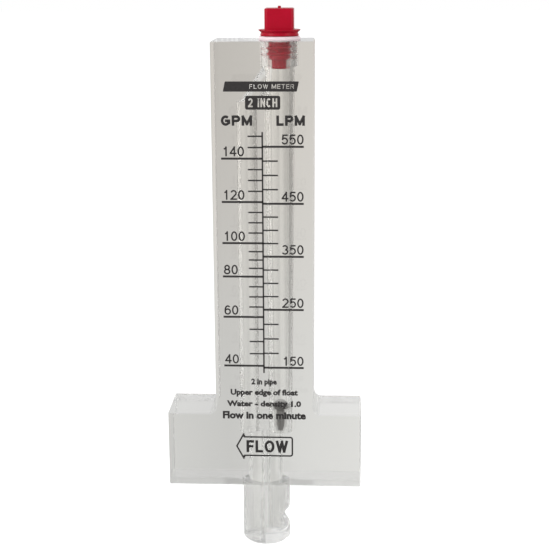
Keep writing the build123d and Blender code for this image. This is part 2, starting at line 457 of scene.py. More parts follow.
def on_socket(place, normal):
    """True on the wall and the ceiling of the socket that the probe's spigot is cemented into."""
    wall = abs(off_axis(place, 0) - SPIGOT_RADIUS) < JOINT_REACH and abs(normal.z) < 0.1
    ceiling = abs(place.z - SOCKET_CEILING) < JOINT_REACH and abs(normal.z) > 0.9
    return place.z < SOCKET_CEILING + JOINT_REACH and (wall or ceiling)


def on_rod_wall(place, normal):
    """True on the upper length of the return bore, where the clear rod is cemented in."""
    wall = abs(off_axis(place, ROD_X) - ROD_RADIUS) < JOINT_REACH and abs(normal.z) < 0.05
    return wall and place.z > rod_low.z


def on_mouth(place, normal):
    """True on the tapped mouth of the float bore and on the step at its lower end."""
    wall = abs(off_axis(place, bore_x) - MOUTH_RADIUS) < WALL_REACH and abs(normal.z) < 0.05
    floor = abs(place.z - MOUTH_FLOOR) < JOINT_REACH and off_axis(place, bore_x) < MOUTH_RADIUS
    return place.z > MOUTH_FLOOR - JOINT_REACH and (wall or floor)


def on_bore(place, normal):
    """True on the walls of the float bore, the return bore and the channels."""
    bore_radius = BORE_LOW_RADIUS + (place.z - BORE_FLOOR) * BORE_TAPER
    in_core = abs(place.y) < CORE_HALF_DEPTH and off_axis(place, 0) < CORE_REACH
    return SOCKET_CEILING < place.z < MOUTH_FLOOR and in_core and (
        abs(off_axis(place, bore_x) - bore_radius) < WALL_REACH
        or abs(off_axis(place, ROD_X) - RETURN_BORE_RADIUS) < WALL_REACH
        or place.z < BORE_FLOOR + MM
    )


def on_return_bore(place, normal):
    """True on the part of those walls that is nearer to the return bore."""
    return on_bore(place, normal) and off_axis(place, ROD_X) < off_axis(place, bore_x)


def on_crossing(place, normal):
    """True on the oblique drill's wall, which is what is left inside the block near the rod's end."""
    high_enough = CROSSING_LOW < place.z < body_high.z - MM
    inside = CROSSING_LEFT < place.x < CROSSING_RIGHT and abs(place.y) < CROSSING_HALF_DEPTH
    other = on_bore(place, normal) or on_mouth(place, normal) or on_rod_wall(place, normal)
    return high_enough and inside and not other


def on_milled_face(place, normal):
    """True on the saddle under the block and on its narrow edge breaks, which no flame has polished."""
    saddle = place.z < SADDLE_TOP and normal.z < -0.3
    slanted = max(abs(normal.x), abs(normal.y), abs(normal.z)) < 0.97
    return saddle or slanted and (abs(place.y) > EDGE_BREAK_Y or abs(place.x) > EDGE_BREAK_X)


# %% [markdown]
# The block is cut through at the lower end of the cemented rod, so that the return bore's wall splits
# into a wetted length and a cemented length. A face that passes two tests gets the later one's finish.

# %% The clear block
POLISHED, REAMED, DRILLED, TAPPED, CEMENTED, MILLED, WET, TURNED = range(8)
ACRYLIC_FINISHES = (
    polished_acrylic, reamed_acrylic, drilled_acrylic, threaded_mouth,
    cement, milled_acrylic, wet_acrylic, turned_acrylic,
)


def clear_piece(node, name):
    """A merged copy of a clear node with a slot for each finish of acrylic, and one for cement."""
    piece = merged_copy(node, name)
    for material in ACRYLIC_FINISHES:
        piece.data.materials.append(material)
    return piece


def paint_and_place(piece, node, tests):
    """Paints the faces test by test, sets the normals, and puts the piece in its node's place."""
    for slot, test in tests:
        paint_faces(piece, slot, test)
    smooth(piece)
    true_normals(piece, (bore_x, ROD_X, 0.0, CHANNEL_X, -CHANNEL_X))
    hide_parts(node)
    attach(piece, "meter")


clear_block = clear_piece("meter_body", "clear_block")
in_edit_mode(
    clear_block,
    lambda: bpy.ops.mesh.bisect(plane_co=(0, 0, rod_low.z), plane_no=(0, 0, 1)),
)
paint_and_place(
    clear_block,
    "meter_body",
    [
        (POLISHED, everywhere), (MILLED, on_milled_face), (REAMED, on_bore), (WET, on_return_bore),
        (DRILLED, on_crossing), (TAPPED, on_mouth), (CEMENTED, on_socket), (CEMENTED, on_rod_wall),
    ],
)

# %% [markdown]
# The probe is a turned rod with two channels drilled up it, and its thinner spigot is cemented into the
# block. A second, polished rod closes the top of the return bore.

# %% The clear probe and the clear rod


def in_probe(place, normal):
    """True on the two channels inside the probe."""
    channel = min(off_axis(place, CHANNEL_X), off_axis(place, -CHANNEL_X))
    return channel < CHANNEL_RADIUS and place.z > probe_low.z + WALL_REACH


def on_spigot(place, normal):
    """True where the probe's spigot is cemented into the block."""
    return place.z > body_low.z and on_socket(place, normal)


clear_probe = clear_piece("pitot_probe", "clear_probe")
paint_and_place(
    clear_probe,
    "pitot_probe",
    [(TURNED, everywhere), (REAMED, in_probe), (CEMENTED, on_spigot)],
)

clear_rod = clear_piece("return_bore_plug", "clear_rod")
paint_and_place(
    clear_rod,
    "return_bore_plug",
    [(POLISHED, everywhere), (DRILLED, on_crossing), (CEMENTED, on_rod_wall)],
)

# %% [markdown]
# The print is black ink, laid on the front face by a screen. A film of ink is far thinner than any line
# is wide, so each mark is a flat shape with a thickness of 0.03 mm, just proud of the face.

# %% Finish: screen-printed ink
PATCHES_PER_METRE = 1500.0


def printing_ink():
    """Matt black ink that lies a little thinner in places."""
    finish = Finish("black_ink")
    patches = finish.noise(PATCHES_PER_METRE, 3.0)
    return finish.shade(
        Base_Color=finish.blend(patches, (0.022, 0.02, 0.02, 1), (0.045, 0.042, 0.042, 1)),
        Roughness=0.45 + patches * 0.2,
        Specular_IOR_Level=0.15,
    )


black_ink = printing_ink()
print("ink:", black_ink.name)

# %% [markdown]
# Lines and bars are thin boxes. The numbers and the bold words are drawn with a pen: a round stroke
# follows the middle line of each letter, and is then pressed flat. That gives the even, sans-serif
# figures that instrument scales have. The small print uses Blender's own font, with a bevel that
# thickens its letters.

# %% Helpers for marks on the front face
INK_THICKNESS = 0.03 * MM
INK_LIFT = 0.01 * MM
FILM_Y = front_y - INK_LIFT - INK_THICKNESS / 2


def ink_box(x0, x1, z0, z1, lean=0.0):
    """A mark from x0 to x1 and z0 to z1 in millimetres, whose top stands lean to the right of its foot."""
    bpy.ops.object.select_all(action="DESELECT")
    bpy.ops.mesh.primitive_cube_add(size=1)
    mark = bpy.context.active_object
    middle = Vector(((x0 + x1) / 2 * MM, FILM_Y, (z0 + z1) / 2 * MM))
    size = Vector(((x1 - x0) * MM, INK_THICKNESS, (z1 - z0) * MM))
    slope = Matrix(((1, 0, lean / (z1 - z0), 0), (0, 1, 0, 0), (0, 0, 1, 0), (0, 0, 0, 1)))
    mark.data.transform(Matrix.Translation(middle) @ slope @ Matrix.Diagonal(size).to_4x4())
    return mark


def press_flat(mark):
    """Squeezes a mark's depth to the ink's thickness and lays it on the front face."""
    depths = [v.co.y for v in mark.data.vertices]
    middle = (max(depths) + min(depths)) / 2
    squeeze = INK_THICKNESS / (max(depths) - min(depths))
    for v in mark.data.vertices:
        v.co.y = FILM_Y + (v.co.y - middle) * squeeze
    return mark


def pen_strokes(strokes, weight):
    """Draws each list of points (x, z in millimetres) with a pen of the given width."""
    pen = bpy.data.curves.new("pen", "CURVE")
    pen.dimensions = "3D"
    pen.bevel_depth = weight / 2 * MM
    pen.bevel_resolution = 0
    pen.use_fill_caps = True
    for points in strokes:
        closed = math.dist(points[0], points[-1]) < 0.01
        points = points[:-1] if closed else points
        line = pen.splines.new("POLY")
        line.points.add(len(points) - 1)
        line.use_cyclic_u = closed
        for vertex, (x, z) in zip(line.points, points):
            vertex.co = (x * MM, 0, z * MM, 1)
    mark = bpy.data.objects.new("pen", pen)
    bpy.context.scene.collection.objects.link(mark)
    select_only(mark)
    bpy.ops.object.convert(target="MESH")
    return press_flat(bpy.context.active_object)


def printed(name, marks):
    """Joins the marks into one piece of the print."""
    bpy.ops.object.select_all(action="DESELECT")
    for mark in marks:
        mark.select_set(True)
    bpy.context.view_layer.objects.active = marks[0]
    if len(marks) > 1:
        bpy.ops.object.join()
    piece = bpy.context.active_object
    piece.name = piece.data.name = name
    piece.data.materials.clear()
    piece.data.materials.append(black_ink)
    in_edit_mode(piece, lambda: bpy.ops.mesh.normals_make_consistent(inside=False))
    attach(piece, "meter")
    print(f"{name}: {len(piece.data.polygons)} faces")


# %% [markdown]
# Each figure or letter is a few strokes in a box one unit high, given by the middle line of the stroke,
# after the box's width in units. Straight strokes are lengthened by almost half the pen's width, so that
# corners are full.

# %% The pen's figures and letters
BOW_STEP = 18


def bow(x, z, across, high, start, end):
    """Points along part of an ellipse, by its middle, its half sizes and two angles in degrees."""
    steps = max(3, round(abs(end - start) / BOW_STEP))
    angles = [math.radians(start + (end - start) * i / steps) for i in range(steps + 1)]
    return [(x + across * math.cos(a), z + high * math.sin(a)) for a in angles]


TWO_BOW = bow(0.5, 0.72, 0.46, 0.28, 165, -38)
P_BOW = [(0, 1), (0.6, 1)] + bow(0.6, 0.73, 0.4, 0.27, 90, -90) + [(0, 0.46)]
LETTERS = {
    "0": (1.0, [bow(0.5, 0.5, 0.47, 0.5, 0, 360)]),
    "1": (1.0, [[(0.62, 0), (0.62, 1)], [(0.62, 0.97), (0.45, 0.83), (0.2, 0.77)]]),
    "2": (1.0, [TWO_BOW, [TWO_BOW[-1], (0.03, 0.0)], [(0, 0), (0.98, 0)]]),
    "3": (1.0, [bow(0.46, 0.74, 0.42, 0.26, 155, -85), bow(0.46, 0.26, 0.49, 0.265, 85, -160)]),
    "4": (1.0, [[(0.74, 0), (0.74, 1)], [(0.74, 1), (0.0, 0.3)], [(0, 0.27), (1, 0.27)]]),
    "5": (1.0, [[(0.9, 1), (0.18, 1)], [(0.18, 1), (0.08, 0.5)],
                bow(0.47, 0.33, 0.49, 0.33, 140, -155)]),
    "6": (1.0, [bow(0.52, 0.52, 0.49, 0.48, 45, 180) + [(0.02, 0.33)],
                bow(0.5, 0.31, 0.48, 0.31, 0, 360)]),
    "8": (1.0, [bow(0.5, 0.75, 0.4, 0.25, 0, 360), bow(0.5, 0.26, 0.48, 0.26, 0, 360)]),
    "C": (1.0, [bow(0.5, 0.5, 0.5, 0.5, 50, 310)]),
    "E": (0.85, [[(0, 0), (0, 1)], [(0, 1), (1, 1)], [(0, 0.52), (0.9, 0.52)], [(0, 0), (1, 0)]]),
    "F": (0.8, [[(0, 0), (0, 1)], [(0, 1), (1, 1)], [(0, 0.5), (0.88, 0.5)]]),
    "G": (1.1, [bow(0.5, 0.5, 0.5, 0.5, 48, 335), [(0.98, 0.2), (0.98, 0.48)],
                [(0.98, 0.48), (0.58, 0.48)]]),
    "H": (1.0, [[(0, 0), (0, 1)], [(1, 0), (1, 1)], [(0, 0.52), (1, 0.52)]]),
    "I": (0.01, [[(0.5, 0), (0.5, 1)]]),
    "L": (0.8, [[(0, 0), (0, 1)], [(0, 0), (1, 0)]]),
    "M": (1.25, [[(0, 0), (0, 1)], [(0, 1), (0.5, 0.08)], [(0.5, 0.08), (1, 1)], [(1, 0), (1, 1)]]),
    "N": (1.0, [[(0, 0), (0, 1)], [(0, 1), (1, 0)], [(1, 0), (1, 1)]]),
    "O": (1.15, [bow(0.5, 0.5, 0.5, 0.5, 0, 360)]),
    "P": (0.95, [[(0, 0), (0, 1)], P_BOW]),
    "R": (0.95, [[(0, 0), (0, 1)], P_BOW, [(0.55, 0.46), (1, 0)]]),
    "T": (0.95, [[(0.5, 0), (0.5, 1)], [(0, 1), (1, 1)]]),
    "W": (1.5, [[(0, 1), (0.27, 0)], [(0.27, 0), (0.5, 1)], [(0.5, 1), (0.73, 0)], [(0.73, 0), (1, 1)]]),
    " ": (0.25, []),
}


def lengthened(points, extra):
    """A straight stroke with extra at both ends; a bow as it is."""
    if len(points) != 2:
        return points
    (x0, z0), (x1, z1) = points
    length = math.dist(points[0], points[1])
    dx, dz = (x1 - x0) / length * extra, (z1 - z0) / length * extra
    return [(x0 - dx, z0 - dz), (x1 + dx, z1 + dz)]


STROKE_REACH = 0.45
SMALL_BEVEL = 0.05


def pen_words(words, x0, x1, z0, z1, weight, spacing=0.34):
    """Words that fill the span from x0 to x1 and z0 to z1 in millimetres, ink included."""
    units = sum(LETTERS[c][0] for c in words) + spacing * (len(words) - 1)
    gaps = weight * (len(words) - 1)
    unit = (x1 - x0 - weight - gaps) / units
    left, low, high = x0 + weight / 2, z0 + weight / 2, z1 - z0 - weight
    strokes = []
    for c in words:
        wide, shape = LETTERS[c]
        for points in shape:
            placed = [(left + px * wide * unit, low + pz * high) for px, pz in points]
            strokes.append(lengthened(placed, weight * STROKE_REACH))
        left += (wide + spacing) * unit + weight
    return pen_strokes(strokes, weight)


def small_words(words, x0, x1, z0, z1):
    """Words in Blender's own font, stretched to the span and thickened by their bevel."""
    bpy.ops.object.select_all(action="DESELECT")
    bpy.ops.object.text_add()
    mark = bpy.context.active_object
    mark.data.body = words
    mark.data.bevel_depth = SMALL_BEVEL
    mark.data.bevel_resolution = 0
    mark.data.resolution_u = 2
    bpy.ops.object.convert(target="MESH")
    mark = bpy.context.active_object
    xs = [v.co.x for v in mark.data.vertices]
    ys = [v.co.y for v in mark.data.vertices]
    scale_x = (x1 - x0) * MM / (max(xs) - min(xs))
    scale_z = (z1 - z0) * MM / (max(ys) - min(ys))
    upright = Matrix((
        (scale_x, 0, 0, x0 * MM - min(xs) * scale_x),
        (0, 0, -MM, 0),
        (0, scale_z, 0, z0 * MM - min(ys) * scale_z),
        (0, 0, 0, 1),
    ))
    mark.data.transform(upright)
    return press_flat(mark)


# %% [markdown]
# The scale is not even, because the bore's taper is not matched to the flow exactly, so the heights of
# the numbered lines are given, and the lines between are spread evenly. The right side has its own
# heights, because its numbers stand at other flows.

# %% The printed scale
GALLON_HEIGHTS = (
    (40, 50.1), (60, 69.85), (80, 85.9), (100, 99.0), (120, 114.9), (140, 131.4), (150, 139.8)
)
LITRE_HEIGHTS = ((150, 49.4), (250, 72.8), (350, 93.8), (450, 114.3), (550, 135.9))
SCALE_LOW, SCALE_HIGH = 47.2, 141.4
MAJOR_REACH, GALLON_MINOR_REACH, LITRE_MINOR_REACH = 15.5, 5.5, 5.8
MAJOR_WEIGHT, MINOR_WEIGHT, STEM_WEIGHT = 0.8, 0.58, 0.6
FIGURE_WEIGHT, FIGURE_HEIGHT, FIGURE_WIDTH = 0.58, 3.8, 2.6
FIGURE_PITCH, FIGURE_GAP, LEFT_INSET = 2.88, 0.42, 0.35
BOLD_SPACING = 0.2
UNIT_LOW, UNIT_HIGH, UNIT_WEIGHT = 143.7, 147.6, 0.98


def scale_height(flow, heights):
    """Height in millimetres of the line for a flow, between the heights of the numbered lines."""
    for (low_flow, low), (high_flow, high) in zip(heights, heights[1:]):
        if flow <= high_flow:
            return low + (flow - low_flow) / (high_flow - low_flow) * (high - low)


def scale_line(z, x0, x1, weight):
    return ink_box(x0, x1, z - weight / 2, z + weight / 2)


def figures(value, z, on_left):
    """A number just above its line, flush with the line's outer end."""
    digits = str(value)
    x0 = LEFT_INSET - MAJOR_REACH
    if not on_left:
        x0 = MAJOR_REACH - FIGURE_PITCH * (len(digits) - 1) - FIGURE_WIDTH
    z0 = z + MAJOR_WEIGHT / 2 + FIGURE_GAP
    drawn = []
    for digit in digits:
        drawn.append(pen_words(digit, x0, x0 + FIGURE_WIDTH, z0, z0 + FIGURE_HEIGHT, FIGURE_WEIGHT))
        x0 += FIGURE_PITCH
    return drawn


marks = [ink_box(-STEM_WEIGHT / 2, STEM_WEIGHT / 2, SCALE_LOW, SCALE_HIGH)]
for gallons in range(40, 155, 5):
    z = scale_height(gallons, GALLON_HEIGHTS)
    if gallons % 20 == 0:
        marks.append(scale_line(z, -MAJOR_REACH, 0, MAJOR_WEIGHT))
        marks += figures(gallons, z, True)
    else:
        marks.append(scale_line(z, -GALLON_MINOR_REACH, 0, MINOR_WEIGHT))
for litres in range(150, 575, 25):
    z = scale_height(litres, LITRE_HEIGHTS)
    if litres % 100 == 50:
        marks.append(scale_line(z, 0, MAJOR_REACH, MAJOR_WEIGHT))
        marks += figures(litres, z, False)
    else:
        marks.append(scale_line(z, 0, LITRE_MINOR_REACH, MINOR_WEIGHT))
for unit, x0, x1 in (("GPM", -15.4, -3.7), ("LPM", 5.3, 15.9)):
    marks.append(pen_words(unit, x0, x1, UNIT_LOW, UNIT_HIGH, UNIT_WEIGHT, BOLD_SPACING))
printed("printed_scale", marks)

# %% [markdown]
# Under the scale an outlined arrow shows which way the water goes. Its shaft is one open stroke with two
# rounded corners, its head is two strokes, and a short thick stroke fills each barb.

# %% The flow arrow
ARROW_TIP_X, ARROW_BACK_X, ARROW_LOW, ARROW_HIGH = -11.0, 11.0, 12.75, 20.55
ARROW_HEAD_X, ARROW_BARB, ARROW_WEIGHT, ARROW_CORNER = -8.2, 1.3, 0.62, 0.8
BARB_X, BARB_WEIGHT, HEAD_REACH = ARROW_HEAD_X + 0.1, 0.85, 0.2

arrow_tip = (ARROW_TIP_X, (ARROW_LOW + ARROW_HIGH) / 2)
upper_barb = (ARROW_HEAD_X, ARROW_HIGH + ARROW_BARB)
lower_barb = (ARROW_HEAD_X, ARROW_LOW - ARROW_BARB)
shaft = (
    [(ARROW_HEAD_X, ARROW_HIGH)]
    + bow(ARROW_BACK_X - ARROW_CORNER, ARROW_HIGH - ARROW_CORNER, ARROW_CORNER, ARROW_CORNER, 90, 0)
    + bow(ARROW_BACK_X - ARROW_CORNER, ARROW_LOW + ARROW_CORNER, ARROW_CORNER, ARROW_CORNER, 0, -90)
    + [(ARROW_HEAD_X, ARROW_LOW)]
)
head = [lengthened([upper_barb, arrow_tip], HEAD_REACH), lengthened([arrow_tip, lower_barb], HEAD_REACH)]
marks = [pen_strokes([shaft] + head, ARROW_WEIGHT)]
for barb, edge in ((upper_barb[1], ARROW_HIGH), (lower_barb[1], ARROW_LOW)):
    marks.append(pen_strokes([[(BARB_X, edge), (BARB_X, (2 * barb + edge) / 3)]], BARB_WEIGHT))
marks.append(pen_words("FLOW", -7.2, 9.3, 14.05, 19.2, 1.05, BOLD_SPACING))
printed("flow_arrow", marks)

# %% [markdown]
# Above the scale stand a slanted bar and a small box, and below it a few short lines of words. The
# letters inside the black marks are bare face, so they are cut out of the ink by a Boolean, with letters
# that are deeper than the film.

# %% Helpers for rounded corners and cut-out letters
LETTER_DEPTH = 20.0


def bevel_edges(piece, chosen, offset, segments):
    """Rounds the edges whose two ends pass the test."""
    select_only(piece)
    bpy.ops.object.mode_set(mode="EDIT")
    bpy.ops.mesh.select_mode(type="EDGE")
    bpy.ops.mesh.select_all(action="DESELECT")
    bpy.ops.object.mode_set(mode="OBJECT")
    for edge in piece.data.edges:
        start, end = (piece.data.vertices[i].co for i in edge.vertices)
        edge.select = chosen(start, end)
    bpy.ops.object.mode_set(mode="EDIT")
    bpy.ops.mesh.bevel(offset=offset * MM, segments=segments, affect="EDGES")
    bpy.ops.mesh.select_mode(type="VERT")
    bpy.ops.object.mode_set(mode="OBJECT")
    return piece


def rounded_ends(mark, corner):
    """Rounds the four short edges that stand on the face."""
    return bevel_edges(mark, lambda start, end: abs(start.y - end.y) > INK_THICKNESS / 2, corner, 5)


def with_letters_cut_out(mark, letters):
    """Cuts letters through a black mark, so that the clear face shows in them."""
    for v in letters.data.vertices:
        v.co.y = FILM_Y + (v.co.y - FILM_Y) * LETTER_DEPTH
    cutter = mark.modifiers.new("letters", "BOOLEAN")
    cutter.object = letters
    cutter.operation = "DIFFERENCE"
    cutter.solver = "EXACT"
    cutter.use_self = True
    select_only(mark)
    bpy.ops.object.modifier_apply(modifier="letters")
    bpy.data.objects.remove(letters)
    return mark


# %% The title bar, the small box and the small print
BAR_LEAN, BAR_CORNER, BOX_CORNER = 0.8, 0.3, 0.8
SMALL_HEIGHT = 3.2
SMALL_PRINT = (
    ("2 in pipe", -5.0, 5.0, 41.7),
    ("Upper edge of float", -13.2, 13.2, 37.3),
    ("Water - density 1.0", -14.7, 14.5, 32.6),
    ("Flow in one minute", -16.4, 16.4, 28.1),
)

title_bar = rounded_ends(ink_box(-14.1, 13.3, 156.35, 160.1, BAR_LEAN), BAR_CORNER)
bar_letters = pen_words("FLOW METER", -4.6, 11.9, 157.4, 159.1, 0.27)
printed("title_bar", [with_letters_cut_out(title_bar, bar_letters)])
title_box = rounded_ends(ink_box(-6.3, 6.8, 149.7, 154.85), BOX_CORNER)
box_letters = pen_words("2 INCH", -5.2, 5.7, 150.6, 153.95, 0.62)
printed("title_box", [with_letters_cut_out(title_box, box_letters)])
printed("small_print", [small_words(words, x0, x1, z, z + SMALL_HEIGHT) for words, x0, x1, z in SMALL_PRINT])

# %% [markdown]
# The float is turned from stainless steel. Its finish keeps the fine rings that the tool leaves, so the
# noise has many waves a metre along z and few across it.

# %% The float and its turned steel
RINGS_PER_METRE, STREAKS_PER_METRE = 9000.0, 600.0


def turned_steel():
    """Bright steel whose colour, roughness and bump follow the tool's rings."""
    finish = Finish("turned_steel")
    rings = finish.noise(1.0, 2.0, (STREAKS_PER_METRE, STREAKS_PER_METRE, RINGS_PER_METRE))
    return finish.shade(
        Base_Color=finish.blend(rings, (0.20, 0.19, 0.19, 1), (0.34, 0.33, 0.32, 1)),
        Metallic=1.0,
        Roughness=0.24 + rings * 0.14,
        Normal=finish.bump(rings, 0.3, 0.02 * MM),
    )


steel_float = merged_copy("float", "steel_float")
steel_float.data.materials.append(turned_steel())
smooth(steel_float)
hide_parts("float")
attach(steel_float, "float")
print(f"steel_float: {len(steel_float.data.polygons)} faces")

# %% [markdown]
# The plug is one red moulding. Its round parts are turned on a lathe of operators: a disc is added, and
# each next ring of the profile is an extrusion that is moved up and resized about the axis. The frame's
# plug has a plain shank at the thread's outer size; here the shank is as thin as the thread's root. The
# flange has a groove and a tapered lip, and carries a square knob with the stub of the mould's gate.

# %% Helper that turns a profile


def turned(name, profile, segments=96):
    """A round solid on the float bore's axis, from its rings (radius, z) in millimetres, lowest first."""
    bpy.ops.object.select_all(action="DESELECT")
    radius, z = profile[0]
    bpy.ops.mesh.primitive_circle_add(
        vertices=segments, radius=radius * MM, fill_type="NGON", location=(bore_x, 0, z * MM)
    )
    piece = bpy.context.active_object
    piece.name = piece.data.name = name
    bpy.ops.object.transform_apply(location=True, rotation=True, scale=True)
    bpy.ops.object.mode_set(mode="EDIT")
    bpy.ops.mesh.select_all(action="SELECT")
    for (radius, z), (next_radius, next_z) in zip(profile, profile[1:]):
        bpy.ops.mesh.extrude_region_move(TRANSFORM_OT_translate={"value": (0, 0, (next_z - z) * MM)})
        factor = next_radius / radius
        bpy.ops.transform.resize(value=(factor, factor, 1), center_override=(bore_x, 0, next_z * MM))
    bpy.ops.mesh.select_all(action="SELECT")
    bpy.ops.mesh.normals_make_consistent(inside=False)
    bpy.ops.object.mode_set(mode="OBJECT")
    return piece


# %% The plug's round parts and its gate stub
PLUG_BOTTOM = plug_low.z / MM
FLANGE_LOW = seal_high.z / MM + 0.05
FLANGE_HIGH = FLANGE_LOW + 2.35
GATE_HEIGHT = 0.8
KNOB_HIGH = plug_high.z / MM - GATE_HEIGHT
NOSE_HIGH = PLUG_BOTTOM + 3.4
OVERLAP = 0.1
THREAD_ROOT, THREAD_CREST, NECK_RADIUS, NOSE_RADIUS = 5.75, 6.98, 5.85, 4.15
NOSE_RINGS = [
    (3.7, PLUG_BOTTOM), (4.1, PLUG_BOTTOM + 0.35), (NOSE_RADIUS, NOSE_HIGH - 0.05),
    (NOSE_RADIUS, NOSE_HIGH), (5.3, NOSE_HIGH + 0.05),
]
SHANK_RINGS = [
    (THREAD_ROOT, NOSE_HIGH + 0.6), (THREAD_ROOT, FLANGE_LOW - 2.4),
    (NECK_RADIUS, FLANGE_LOW - 2.3), (NECK_RADIUS, FLANGE_LOW),
]
FLANGE_RINGS = [
    (6.9, FLANGE_LOW), (7.15, FLANGE_LOW + 0.08), (7.22, FLANGE_LOW + 0.3), (6.95, FLANGE_LOW + 1.15),
    (7.0, FLANGE_LOW + 1.35), (7.8, FLANGE_LOW + 2.0), (7.9, FLANGE_LOW + 2.15),
    (7.87, FLANGE_LOW + 2.28), (7.7, FLANGE_HIGH), (5.0, FLANGE_HIGH),
]
GATE_RINGS = [(0.66, KNOB_HIGH - OVERLAP), (0.62, KNOB_HIGH + 0.3), (0.55, KNOB_HIGH + GATE_HEIGHT)]

shank_and_flange = turned("screw_plug", NOSE_RINGS + SHANK_RINGS + FLANGE_RINGS)
gate_stub = turned("gate_stub", GATE_RINGS, 20)
print(f"plug from z = {PLUG_BOTTOM:.2f} to {KNOB_HIGH + GATE_HEIGHT:.2f} mm")

# %% The plug's square knob
KNOB_WIDTH, KNOB_CORNER, KNOB_EDGE = 10.8, 1.3, 0.45


def square_knob():
    """A cube with its upright edges rounded, then its upper rim."""
    bpy.ops.object.select_all(action="DESELECT")
    bpy.ops.mesh.primitive_cube_add(size=1)
    knob = bpy.context.active_object
    low, high = FLANGE_HIGH - OVERLAP, KNOB_HIGH
    size = Vector((KNOB_WIDTH, KNOB_WIDTH, high - low)) * MM
    place = Vector((bore_x, 0, (low + high) / 2 * MM))
    knob.data.transform(Matrix.Translation(place) @ Matrix.Diagonal(size).to_4x4())
    bevel_edges(knob, lambda start, end: abs(start.z - end.z) > MM, KNOB_CORNER, 6)
    return bevel_edges(knob, lambda start, end: min(start.z, end.z) > (high - 0.01) * MM, KNOB_EDGE, 3)


knob = square_knob()
print(f"knob: {len(knob.data.polygons)} faces")

# %% [markdown]
# The thread is a ridge that climbs round the shank. Its section is drawn as four corners beside the axis,
# and a Screw modifier sweeps it round and up by one pitch a turn. Its two ends are closed afterwards.

# %% The plug's thread
THREAD_LOW, THREAD_TURNS, STEPS_PER_TURN = 168.35, 2.2, 72
RIDGE_FOOT, RIDGE_CREST = 1.9, 0.35


def screw_thread():
    """The ridge of the thread, from just inside the shank out to its crest."""
    bpy.ops.object.select_all(action="DESELECT")
    bpy.ops.mesh.primitive_plane_add(size=1)
    ridge = bpy.context.active_object
    corners = sorted(ridge.data.vertices, key=lambda v: math.atan2(v.co.y, v.co.x))
    section = (
        (THREAD_ROOT - OVERLAP, -RIDGE_FOOT / 2), (THREAD_CREST, -RIDGE_CREST / 2),
        (THREAD_CREST, RIDGE_CREST / 2), (THREAD_ROOT - OVERLAP, RIDGE_FOOT / 2),
    )
    for corner, (radius, rise) in zip(corners, section):
        corner.co = (radius * MM, 0, rise * MM)
    in_edit_mode(ridge, lambda: bpy.ops.mesh.delete(type="ONLY_FACE"))
    sweep = ridge.modifiers.new("sweep", "SCREW")
    sweep.axis = "Z"
    sweep.angle = 2 * math.pi * THREAD_TURNS
    sweep.screw_offset = THREAD_PITCH * THREAD_TURNS
    sweep.steps = sweep.render_steps = round(STEPS_PER_TURN * THREAD_TURNS)
    sweep.use_smooth_shade = False
    bpy.ops.object.modifier_apply(modifier="sweep")
    in_edit_mode(
        ridge,
        lambda: bpy.ops.mesh.remove_doubles(threshold=MERGE_DISTANCE),
        lambda: bpy.ops.mesh.fill_holes(sides=0),
        lambda: bpy.ops.mesh.normals_make_consistent(inside=False),
    )
    ridge.data.transform(Matrix.Translation((bore_x, 0, THREAD_LOW * MM)))
    return ridge


ridge = screw_thread()
heights = [v.co.z / MM for v in ridge.data.vertices]
print(f"thread from z = {min(heights):.2f} to {max(heights):.2f} mm")

# %% [markdown]
# The four parts of the plug overlap a little and are joined. Moulded nylon is a clean red, with faint
# marks where the melt flowed.

# %% The whole plug in red plastic
FLOW_MARKS_PER_METRE = 250.0


def red_plastic():
    """Red moulded plastic with flow marks."""
    finish = Finish("red_plastic")
    flow_marks = finish.noise(FLOW_MARKS_PER_METRE, 3.0)
    return finish.shade(
        Base_Color=finish.blend(flow_marks, (0.36, 0.001, 0.014, 1), (0.43, 0.002, 0.022, 1)),
        Roughness=0.28 + flow_marks * 0.12,
        IOR=1.5,
        Specular_IOR_Level=0.12,
        Normal=finish.bump(flow_marks, 0.25, 0.04 * MM),
    )


bpy.ops.object.select_all(action="DESELECT")
for part in (gate_stub, knob, ridge, shank_and_flange):
    part.select_set(True)
bpy.context.view_layer.objects.active = shank_and_flange
bpy.ops.object.join()
screw_plug = bpy.context.active_object
screw_plug.data.materials.clear()
screw_plug.data.materials.append(red_plastic())
smooth(screw_plug, math.radians(30))
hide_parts("top_plug")
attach(screw_plug, "plug")
print(f"screw_plug: {len(screw_plug.data.polygons)} faces")

# %% [markdown]
# The seal is a soft milky ring, squeezed by the flange. It starts as a torus of the same outside and
# height as the frame's ring, and its top is pressed flat. Its pink is painted light: the plug's red,
# painted into its colour.

# %% The seal ring and its finish
PRESSED_FLAT = 0.04 * MM
CLOUDS_PER_METRE = 400.0


def milky_ring():
    """Milky rubber with a slight haze, tinted pink by painted red light from the plug."""
    finish = Finish("milky_ring")
    haze = finish.noise(CLOUDS_PER_METRE, 2.0)
    return finish.shade(
        # The pink of both colours is painted red light from the plug above.
        Base_Color=finish.blend(haze, (0.95, 0.75, 0.79, 1), (0.98, 0.81, 0.85, 1)),
        Roughness=0.35 + haze * 0.15,
        IOR=1.43,
        Transmission_Weight=0.1,
        Subsurface_Weight=0.3,
        Subsurface_Radius=(1.0, 0.9, 0.9),
        Subsurface_Scale=0.002,
        Specular_IOR_Level=0.3,
    )


